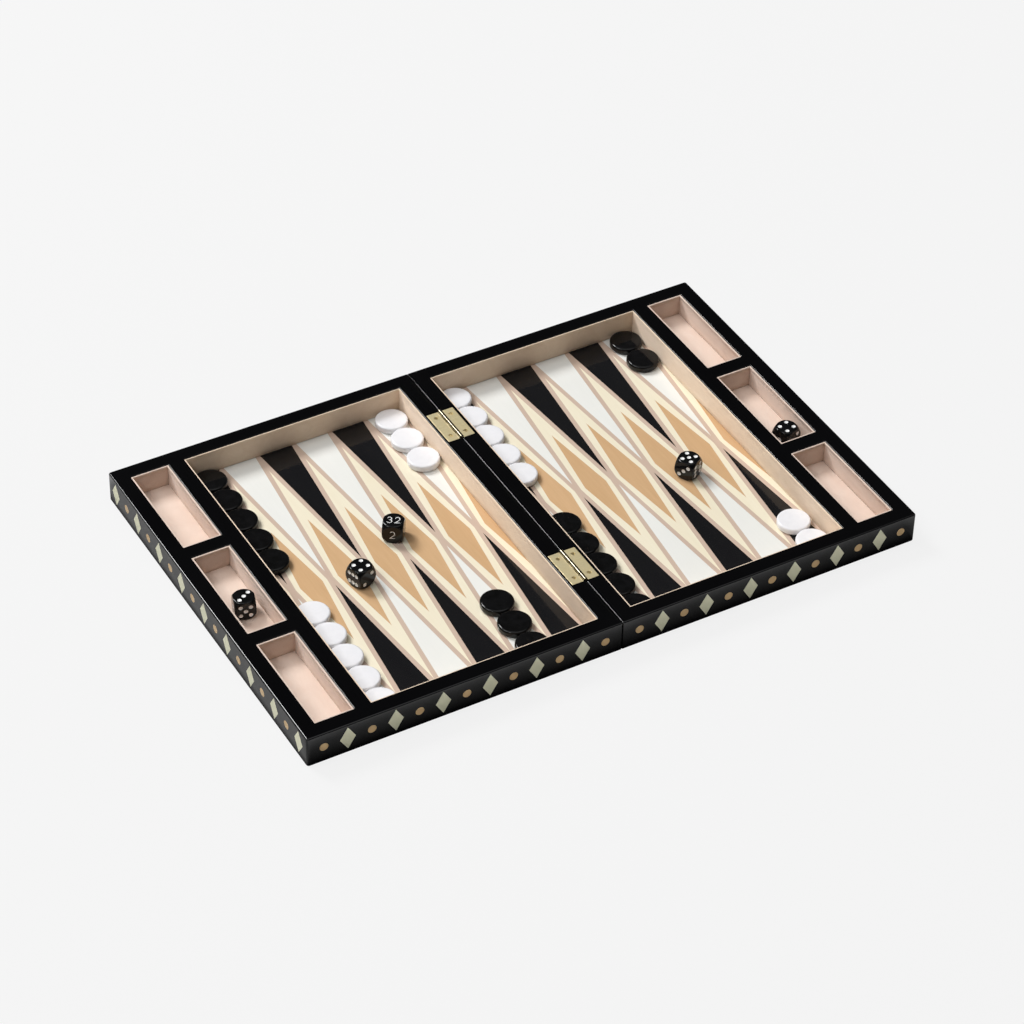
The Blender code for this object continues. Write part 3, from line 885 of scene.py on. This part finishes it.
def join(target, other):
    """Adds another object's faces to the target's mesh."""
    mesh = bmesh.new()
    mesh.from_mesh(target.data)
    mesh.from_mesh(other.data)
    mesh.to_mesh(target.data)
    mesh.free()
    bpy.data.objects.remove(other, do_unlink=True)


def make_pin(place, materials):
    """A hinge pin with domed ends."""
    middle, half_length, axis = hinge_middle(place)
    shape = Shape()
    ends = [(PIN_RADIUS * c, PIN_DOME * (1 - s)) for s, c in quarter(5)]
    ends[-1] = (PIN_RADIUS * 0.06, 0.0)
    profile = ends[::-1] + [(r, 2 * half_length - z) for r, z in ends]
    shape.loft(moved(lathe(profile, 32), along_y(0, middle - half_length, axis)))
    made = shape.object(f"{place}_pin", [materials["pin"]], sharp=50)
    return piece(made, "left_half", "pin_brass", f"{place}_hinge_pin")


def make_screw(name, body, x, y, top, turn, materials):
    """A countersunk screw with a slotted head."""
    shape = Shape()
    profile = [
        (0.00075, -0.0075),
        (0.0009, -0.0060),
        (0.0009, -0.0013),
        (SCREW_HEAD, -0.00025),
        (SCREW_HEAD, -0.00010),
        (SCREW_HEAD * 0.93, 0.0),
        (SCREW_HEAD * 0.5, 0.00006),
    ]
    place = Matrix.Translation((x, y, top - SCREW_DROP)) @ Matrix.Rotation(turn, 4, "Z")
    shape.loft(moved(lathe(profile, 40), place))
    screw = shape.object(name, [materials["screw"]], sharp=30)
    slot = Shape()
    lower = at(rectangle(-SCREW_SLOT / 2, SCREW_SLOT / 2, -SCREW_HEAD * 1.2, SCREW_HEAD * 1.2), -0.0005)
    slot.loft(moved([lower, [(x, y, 0.0005) for x, y, _ in lower]], place), smooth=False)
    cut(screw, [slot.object("slot", [])])
    return piece(screw, body, "brass")


def make_hinges(materials):
    turns = iter((0.35, 1.2, 0.8, 2.3, 0.1, 1.75, 0.55, 2.9))
    for place in HINGES:
        make_pin(place, materials)
        for half, side in HALVES.items():
            make_leaf(half, side, place, materials)
            top = leaf_top(half)
            for i, (x, y) in enumerate(screw_spots(side, place, half)):
                make_screw(f"{half}_{place}_screw_{i + 1}", f"{half}_half", x, y, top, next(turns), materials)


# -------------------------------------------------------- playing pieces


def checker_shape(radius, thickness):
    """A checker: well rounded edges, and a face that rises a hair towards its middle."""
    profile = [(radius * 0.05, 0.0), (radius * 0.55, 0.0)]
    profile += [(radius - CHECKER_ROUND * (1 - s), CHECKER_ROUND * (1 - c)) for s, c in quarter(8)]
    for s, c in quarter(8)[::-1]:
        profile.append((radius - CHECKER_ROUND * (1 - s), thickness - CHECKER_DOME - CHECKER_ROUND * (1 - c)))
    for share in (0.75, 0.5, 0.25, 0.05):
        profile.append((radius * share, thickness - CHECKER_DOME * share**2))
    shape = Shape()
    shape.loft(lathe(profile, 72))
    return shape


def make_checkers(materials):
    for colour, finish in (("white", "white"), ("black", "jet")):
        low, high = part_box(f"{colour}_checker_01")
        pattern = checker_shape((high.x - low.x) / 2, high.z - low.z)
        first = pattern.object(f"checker_{colour}_01", [materials[finish]], sharp=50)
        for i in range(1, 16):
            made = first if i == 1 else bpy.data.objects.new(f"checker_{colour}_{i:02d}", first.data)
            if i > 1:
                bpy.context.scene.collection.objects.link(made)
            node = f"{colour}_checker_{i:02d}"
            low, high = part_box(node)
            made.location = ((low.x + high.x) / 2, (low.y + high.y) / 2, low.z)
            piece(made, node, f"{colour}_resin", node)


def arc(x, y, rx, ry, start, end, count=14):
    """Points of an elliptic arc, angles in degrees."""
    turns = [math.radians(start + (end - start) * i / count) for i in range(count + 1)]
    return [(x + rx * math.cos(turn), y + ry * math.sin(turn)) for turn in turns]


# Plain numerals as lines, in a box 1 high that starts at (0, 0); and how wide each is
DIGITS = {
    "1": ([[(0.06, 0.80), (0.26, 1.0), (0.26, 0.0)]], 0.34),
    "2": (
        [
            arc(0.30, 0.70, 0.27, 0.30, 165, -20)
            + arc(0.16, 0.60, 0.40, 0.30, -10, -20, 2)[1:]
            + [(0.03, 0.0), (0.60, 0.0)]
        ],
        0.60,
    ),
    "3": ([arc(0.28, 0.755, 0.245, 0.245, 150, -90), arc(0.28, 0.265, 0.275, 0.265, 90, -150)], 0.56),
    "4": ([[(0.47, 0.0), (0.47, 1.0), (0.02, 0.27), (0.64, 0.27)]], 0.64),
    "6": ([arc(0.29, 0.29, 0.27, 0.29, 0, 360, 26), [(0.045, 0.39), (0.40, 1.0)]], 0.58),
    "8": ([arc(0.28, 0.76, 0.22, 0.24, 0, 360, 24), arc(0.28, 0.26, 0.27, 0.26, 0, 360, 26)], 0.56),
}


def ribbon(line, width):
    """The outline of a line drawn with a flat pen."""
    points = [Vector(point) for point in line]
    closed = (points[0] - points[-1]).length < 1e-9
    left, right = [], []
    for i, point in enumerate(points):
        before = points[i - 1] if i else (points[-2] if closed else None)
        after = points[i + 1] if i < len(points) - 1 else (points[1] if closed else None)
        pairs = [pair for pair in ((before, point), (point, after)) if None not in pair]
        sides = [(b - a).normalized() for a, b in pairs]
        along = sum(sides, Vector((0, 0))).normalized()
        across = Vector((-along.y, along.x))
        reach = width / 2 / max(across.dot(Vector((-sides[0].y, sides[0].x))), MITRE_LIMIT)
        left.append(point + across * reach)
        right.append(point - across * reach)
    if closed:
        return [left[:-1], right[:-1]]
    return [left + right[::-1]]


def number_lines(text, height):
    """The lines of a number, centred on the origin."""
    space = 0.36
    width = sum(DIGITS[digit][1] for digit in text) + space * (len(text) - 1)
    x = -width / 2
    lines = []
    for digit in text:
        strokes, wide = DIGITS[digit]
        lines += [[((u + x) * height, (v - 0.5) * height) for u, v in stroke] for stroke in strokes]
        x += wide + space
    return lines


def line_distance(point, lines):
    best = 1.0
    for line in lines:
        for a, b in zip(line, line[1:]):
            a, b = Vector(a), Vector(b)
            along = b - a
            share = max(0.0, min(1.0, (point - a).dot(along) / max(along.length_squared, 1e-12)))
            best = min(best, (point - a - along * share).length)
    return best


def pip_spots(count):
    d = PIP_PLACE
    spots = {
        1: [(0, 0)],
        2: [(-d, d), (d, -d)],
        3: [(-d, d), (0, 0), (d, -d)],
        4: [(-d, -d), (-d, d), (d, -d), (d, d)],
        5: [(-d, -d), (-d, d), (0, 0), (d, -d), (d, d)],
        6: [(-d, -d), (-d, 0), (-d, d), (d, -d), (d, 0), (d, d)],
    }
    return spots[count]


def on_die(u, v, depth, half, turn):
    """A point of a cube's face brought onto a die: flat, then round where its ball is smaller."""
    point = Vector((u, v, half))
    ball = 2 * half * BALL_SHARE
    soft = DIE_EDGE_SOFTNESS
    reach = point.length
    mix = max(0.0, min(1.0, 0.5 + 0.5 * (ball - reach) / soft))
    wanted = ball + (reach - ball) * mix - soft * mix * (1 - mix)
    point = point * (wanted / reach)
    point.z -= depth
    return tuple(turn @ point)


def face_turns():
    """The six faces of a die by name, each as the turn that brings +Z to it and its top edge upright."""
    front = Matrix.Rotation(math.pi / 2, 3, "X")
    return {
        "top": Matrix.Identity(3),
        "bottom": Matrix.Rotation(math.pi, 3, "X"),
        "front": front,
        "right": Matrix.Rotation(math.pi / 2, 3, "Z") @ front,
        "back": Matrix.Rotation(math.pi, 3, "Z") @ front,
        "left": Matrix.Rotation(-math.pi / 2, 3, "Z") @ front,
    }


def add_die_face(shape, half, turn, marks, depth_at):
    """One face of a die: a grid that gives way to the outlines of its marks."""
    ticks = [-half + 2 * half * i / DIE_GRID for i in range(DIE_GRID + 1)]
    edge = ticks[:-1]
    outline = [(t, -half) for t in edge] + [(half, t) for t in edge]
    outline += [(-t, half) for t in edge] + [(-half, -t) for t in edge]
    points, faces = gather([outline] + marks)
    near = [Vector(p) for polygon in marks for p in polygon]
    for u in ticks[1:-1]:
        for v in ticks[1:-1]:
            if all((Vector((u, v)) - p).length > 0.0005 for p in near):
                points.append(Vector((u, v)) * MM)
    for spots, _ in cut_up(points, faces):
        middle = sum(spots, Vector((0, 0))) / 3
        painted = depth_at(middle) > 0
        shape.face([on_die(p.x, p.y, depth_at(p), half, turn) for p in spots], 1 if painted else 0, True)


def pip_depth(spots):
    def depth(point):
        gap = min((point - Vector(spot)).length for spot in spots)
        share = gap / PIP_RADIUS
        return PIP_DEPTH * (1 - share**2) ** 0.5 if share < 0.999 else 0.0

    return depth


def number_depth(lines):
    def depth(point):
        inside = DIGIT_STROKE / 2 - line_distance(point, lines)
        return DIGIT_DEPTH * max(0.0, min(1.0, inside / DIGIT_WALL)) if inside > 1e-5 else 0.0

    return depth


def die_mesh(name, half, faces, materials):
    """A die with a number of pips on each face, or a doubling cube with a numeral on each."""
    shape = Shape()
    turns = face_turns()
    for face, (mark, turn) in zip(DIE_SIDES, faces):
        marks = []
        spin = Matrix.Rotation(math.radians(turn), 2)
        if isinstance(mark, int):
            spots = [tuple(spin @ Vector(spot)) for spot in pip_spots(mark)]
            for x, y in spots:
                marks += [circle(PIP_RADIUS * share, count, x, y) for share, count in PIP_RINGS]
            depth = pip_depth(spots)
        else:
            lines = [[tuple(spin @ Vector(p)) for p in line] for line in number_lines(mark, DIGIT_HEIGHT)]
            for line in lines:
                for width in (DIGIT_STROKE, DIGIT_STROKE - 2 * DIGIT_WALL):
                    marks += [[tuple(p) for p in polygon] for polygon in ribbon(line, width)]
            depth = number_depth(lines)
        add_die_face(shape, half, turns[face], marks, depth)
    return shape.object(name, [materials["jet"], materials["pip"]], sharp=38)


def make_dice(materials):
    for node, (turn, faces) in DICE.items():
        low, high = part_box(node)
        half = (high.z - low.z) / 2
        made = die_mesh(f"{node}_body", half, faces, materials)
        made.location = (low + high) / 2
        made.rotation_euler.z = math.radians(turn)
        piece(made, node, "black_resin", node)


# ---------------------------------------------------------------- studio


def make_floor(name, height, seen):
    """A disc of pale floor that either shows in the picture or only bounces light. Returns its recipe."""
    shape = Shape()
    shape.face(at(circle(FLOOR_RADIUS, 64), 0.0))
    recipe = Recipe(name, Roughness=0.9, Specular_IOR_Level=0.0)
    floor = shape.object(name, [recipe.material])
    floor.location.z = height
    floor.visible_camera = seen
    for kind in ("diffuse", "glossy", "transmission", "shadow"):
        setattr(floor, f"visible_{kind}", not seen)
    return recipe


def grey(level):
    return (level, level, level)


def make_floors():
    """The floor in the picture stays even; the one in reflections bears a painted shadow where the case
    shades it.
    """
    high = CAD_BOUNDS[1]
    seen = make_floor("studio_floor", -0.00002, True)
    seen.set(Base_Color=(*grey(FLOOR_GREY), 1.0))
    seen.set(Emission_Color=(*grey(1.0), 1.0), Emission_Strength=FLOOR_GLOW)
    bounce = make_floor("studio_bounce", -0.00004, False)
    spot = bounce.node("ShaderNodeSeparateXYZ", {0: bounce.place()}).outputs
    past_end = bounce.math("SUBTRACT", bounce.math("ABSOLUTE", spot[0]), high[0])
    past_front = bounce.math("SUBTRACT", bounce.math("ABSOLUTE", spot[1]), high[1])
    # Painted shadow: the floor's colour darkens towards the case's ends and front, standing in for the case's
    # shadow
    painted_end_light = bounce.fit(past_end, 0.0, PAINTED_LIGHT_PAST_END, *END_PAINTED_SHADE)
    painted_front_light = bounce.fit(past_front, 0.0, 1.0, *FRONT_PAINTED_SHADE)
    lit = bounce.math("MAXIMUM", painted_end_light, painted_front_light)
    bounce.drive(Base_Color=bounce.blend(lit, *(grey(level) for level in BOUNCE_PAINTED_SHADE_GREYS)))


def make_light(name, azimuth, elevation, distance, width, height, power):
    """A soft light that faces the board."""
    light = bpy.data.lights.new(name, "AREA")
    light.shape = "RECTANGLE"
    light.size, light.size_y = width, height
    light.energy = power
    made = bpy.data.objects.new(name, light)
    bpy.context.scene.collection.objects.link(made)
    a, e = math.radians(azimuth), math.radians(elevation)
    away = Vector((math.cos(a) * math.cos(e), math.sin(a) * math.cos(e), math.sin(e)))
    made.location = away * distance
    made.rotation_mode = "QUATERNION"
    made.rotation_quaternion = away.to_track_quat("Z", "Y")


def make_world():
    """A dark studio with a soft glow straight above and a pale horizon."""
    world = bpy.data.worlds.new("studio")
    bpy.context.scene.world = world
    world.use_nodes = True
    tree = world.node_tree
    shader = tree.nodes["Background"]
    spot = tree.nodes.new("ShaderNodeTexCoord")
    split = tree.nodes.new("ShaderNodeSeparateXYZ")
    tree.links.new(spot.outputs["Generated"], split.inputs[0])
    ramp = tree.nodes.new("ShaderNodeValToRGB")
    tree.links.new(split.outputs["Z"], ramp.inputs[0])
    stops = ((0.0, 0.88), (0.05, 0.88), (0.14, 0.02), (0.78, 0.02), (0.95, 1.0))
    while len(ramp.color_ramp.elements) < len(stops):
        ramp.color_ramp.elements.new(0.5)
    for element, (place, level) in zip(ramp.color_ramp.elements, stops):
        element.position = place
        element.color = (*grey(level), 1.0)
    tree.links.new(ramp.outputs[0], shader.inputs["Color"])


def make_camera():
    a, e, roll = (math.radians(angle) for angle in (AZIMUTH, ELEVATION, ROLL))
    back = Vector((math.sin(a) * math.cos(e), -math.cos(a) * math.cos(e), math.sin(e)))
    across = Vector((0, 0, 1)).cross(back).normalized()
    up = back.cross(across)
    turned_across = across * math.cos(roll) + up * math.sin(roll)
    turned_up = up * math.cos(roll) - across * math.sin(roll)
    data = bpy.data.cameras.new("camera")
    data.sensor_width = 36.0
    data.lens = FOCAL_LENGTH
    data.clip_start, data.clip_end = 0.05, 100.0
    camera = bpy.data.objects.new("camera", data)
    bpy.context.scene.collection.objects.link(camera)
    basis = Matrix((turned_across, turned_up, back)).transposed().to_4x4()
    camera.matrix_world = Matrix.Translation(Vector(TARGET) + back * DISTANCE) @ basis
    bpy.context.scene.camera = camera


def make_studio():
    make_floors()
    make_world()
    for name, settings in LIGHTS.items():
        make_light(name, *settings)
    view = bpy.context.scene.view_settings
    view.view_transform = "Standard"
    view.look = "None"
    make_camera()


def paint_base(half, materials):
    """The base panel keeps its CAD mesh, in a paint of its own."""
    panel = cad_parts[f"{half}_base_panel"]
    panel.data.materials.clear()
    panel.data.materials.append(materials["board"])


def main():
    materials = make_materials()
    for half, side in HALVES.items():
        make_case(half, side, materials)
        make_field(half, side, materials)
        make_linings(half, side, materials)
        paint_base(half, materials)
    make_hinges(materials)
    make_checkers(materials)
    make_dice(materials)
    make_studio()


main()
